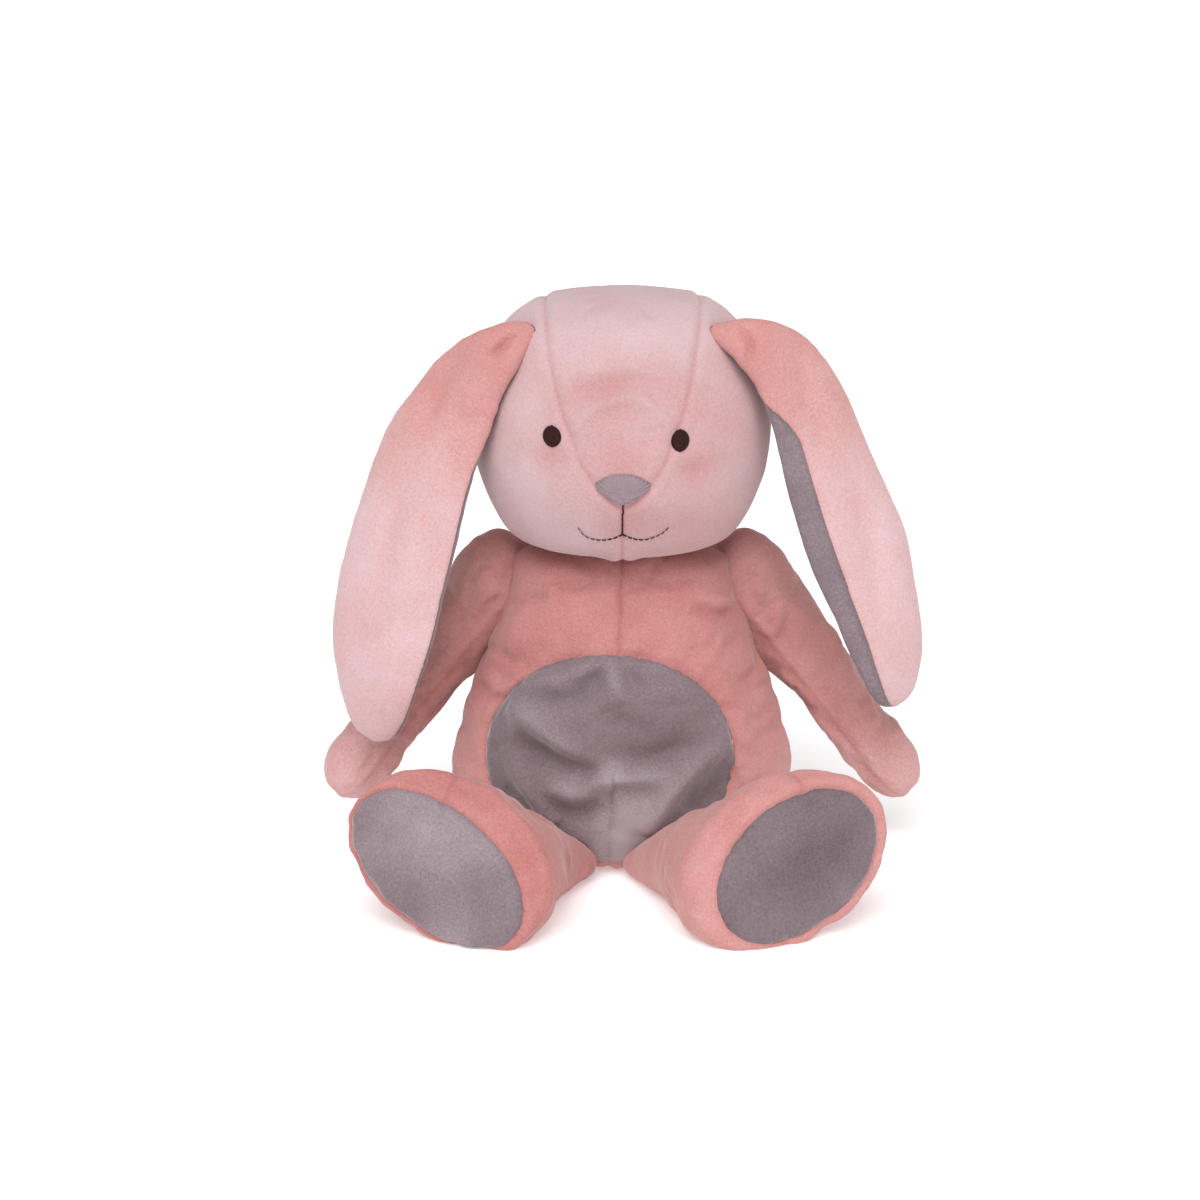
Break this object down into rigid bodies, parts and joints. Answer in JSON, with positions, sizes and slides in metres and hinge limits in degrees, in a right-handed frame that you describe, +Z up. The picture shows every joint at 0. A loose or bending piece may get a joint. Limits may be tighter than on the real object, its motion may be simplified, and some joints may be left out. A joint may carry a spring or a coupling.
{
  "type": "stuffed bunny rabbit",
  "caption": "Seated plush rabbit with long drooping lined ears, a round belly patch, oval foot soles and an embroidered face.",
  "frame": {"origin": "middle of the seat panel's flat underside, on the surface the toy sits on", "axes": "+Z up, the toy faces -Y, its own left side is +X"},
  "size_m": [0.2758, 0.1992, 0.2625],
  "materials": {
    "pink_plush": "matte",
    "pale_pink_plush": "matte",
    "grey_plush": "matte",
    "nose_thread": "satin",
    "face_thread": "satin",
    "fibre_filling": "matte",
    "liner_cloth": "matte",
    "pellets": "satin"
  },
  "bodies": {
    "torso": {"seat_panel": "pink_plush", "torso_front_right_panel": "pink_plush", "torso_back_right_panel": "pink_plush", "belly_patch_right_panel": "grey_plush", "torso_front_left_panel": "pink_plush", "torso_back_left_panel": "pink_plush", "belly_patch_left_panel": "grey_plush", "torso_stuffing": "fibre_filling", "pellet_bag": "liner_cloth", "seat_pellets": "pellets", "tail_panel": "pink_plush", "tail_stuffing": "fibre_filling"},
    "neck": {"neck_stuffing": "fibre_filling"},
    "head": {"head_gusset_panel": "pale_pink_plush", "head_right_panel": "pale_pink_plush", "head_left_panel": "pale_pink_plush", "head_stuffing": "fibre_filling", "left_eye": "face_thread", "right_eye": "face_thread", "nose": "nose_thread", "mouth_stitching": "face_thread"},
    "left_ear": {"left_ear_outer_panel": "pink_plush", "left_ear_lining": "grey_plush", "left_ear_filling": "fibre_filling"},
    "left_arm": {"left_arm_outer_panel": "pink_plush", "left_arm_inner_panel": "pink_plush", "left_arm_stuffing": "fibre_filling"},
    "left_leg": {"left_leg_sole": "grey_plush", "left_leg_outer_panel": "pink_plush", "left_leg_inner_panel": "pink_plush", "left_leg_stuffing": "fibre_filling"},
    "right_ear": {"right_ear_outer_panel": "pink_plush", "right_ear_lining": "grey_plush", "right_ear_filling": "fibre_filling"},
    "right_arm": {"right_arm_outer_panel": "pink_plush", "right_arm_inner_panel": "pink_plush", "right_arm_stuffing": "fibre_filling"},
    "right_leg": {"right_leg_sole": "grey_plush", "right_leg_outer_panel": "pink_plush", "right_leg_inner_panel": "pink_plush", "right_leg_stuffing": "fibre_filling"}
  },
  "joints": [
    {"name": "neck_nod", "type": "hinge", "parent": "torso", "child": "neck", "pos_m": [0, -0.002, 0.147], "axis": [-1, 0, 0], "range_deg": [0, 12], "stiffness_Nm_per_rad": 0.4},
    {"name": "head_tilt", "type": "hinge", "parent": "neck", "child": "head", "pos_m": [0, -0.002, 0.147], "axis": [0, 1, 0], "range_deg": [-8, 8], "stiffness_Nm_per_rad": 1},
    {"name": "left_ear_lift", "type": "hinge", "parent": "head", "child": "left_ear", "pos_m": [0.04, -0.037, 0.25], "axis": [0, -1, 0], "range_deg": [0, 90]},
    {"name": "left_shoulder", "type": "hinge", "parent": "torso", "child": "left_arm", "pos_m": [0.055, 0.011, 0.129], "axis": [0, -1, 0], "range_deg": [0, 55]},
    {"name": "left_hip", "type": "hinge", "parent": "torso", "child": "left_leg", "pos_m": [0.02, -0.044, 0.0175], "axis": [-1, 0, 0], "range_deg": [-35, 20], "stiffness_Nm_per_rad": 0.3},
    {"name": "right_ear_lift", "type": "hinge", "parent": "head", "child": "right_ear", "pos_m": [-0.04, -0.037, 0.25], "axis": [0, 1, 0], "range_deg": [0, 90]},
    {"name": "right_shoulder", "type": "hinge", "parent": "torso", "child": "right_arm", "pos_m": [-0.055, 0.011, 0.129], "axis": [0, 1, 0], "range_deg": [0, 55]},
    {"name": "right_hip", "type": "hinge", "parent": "torso", "child": "right_leg", "pos_m": [-0.02, -0.044, 0.0175], "axis": [-1, 0, 0], "range_deg": [-35, 20], "stiffness_Nm_per_rad": 0.3}
  ]
}
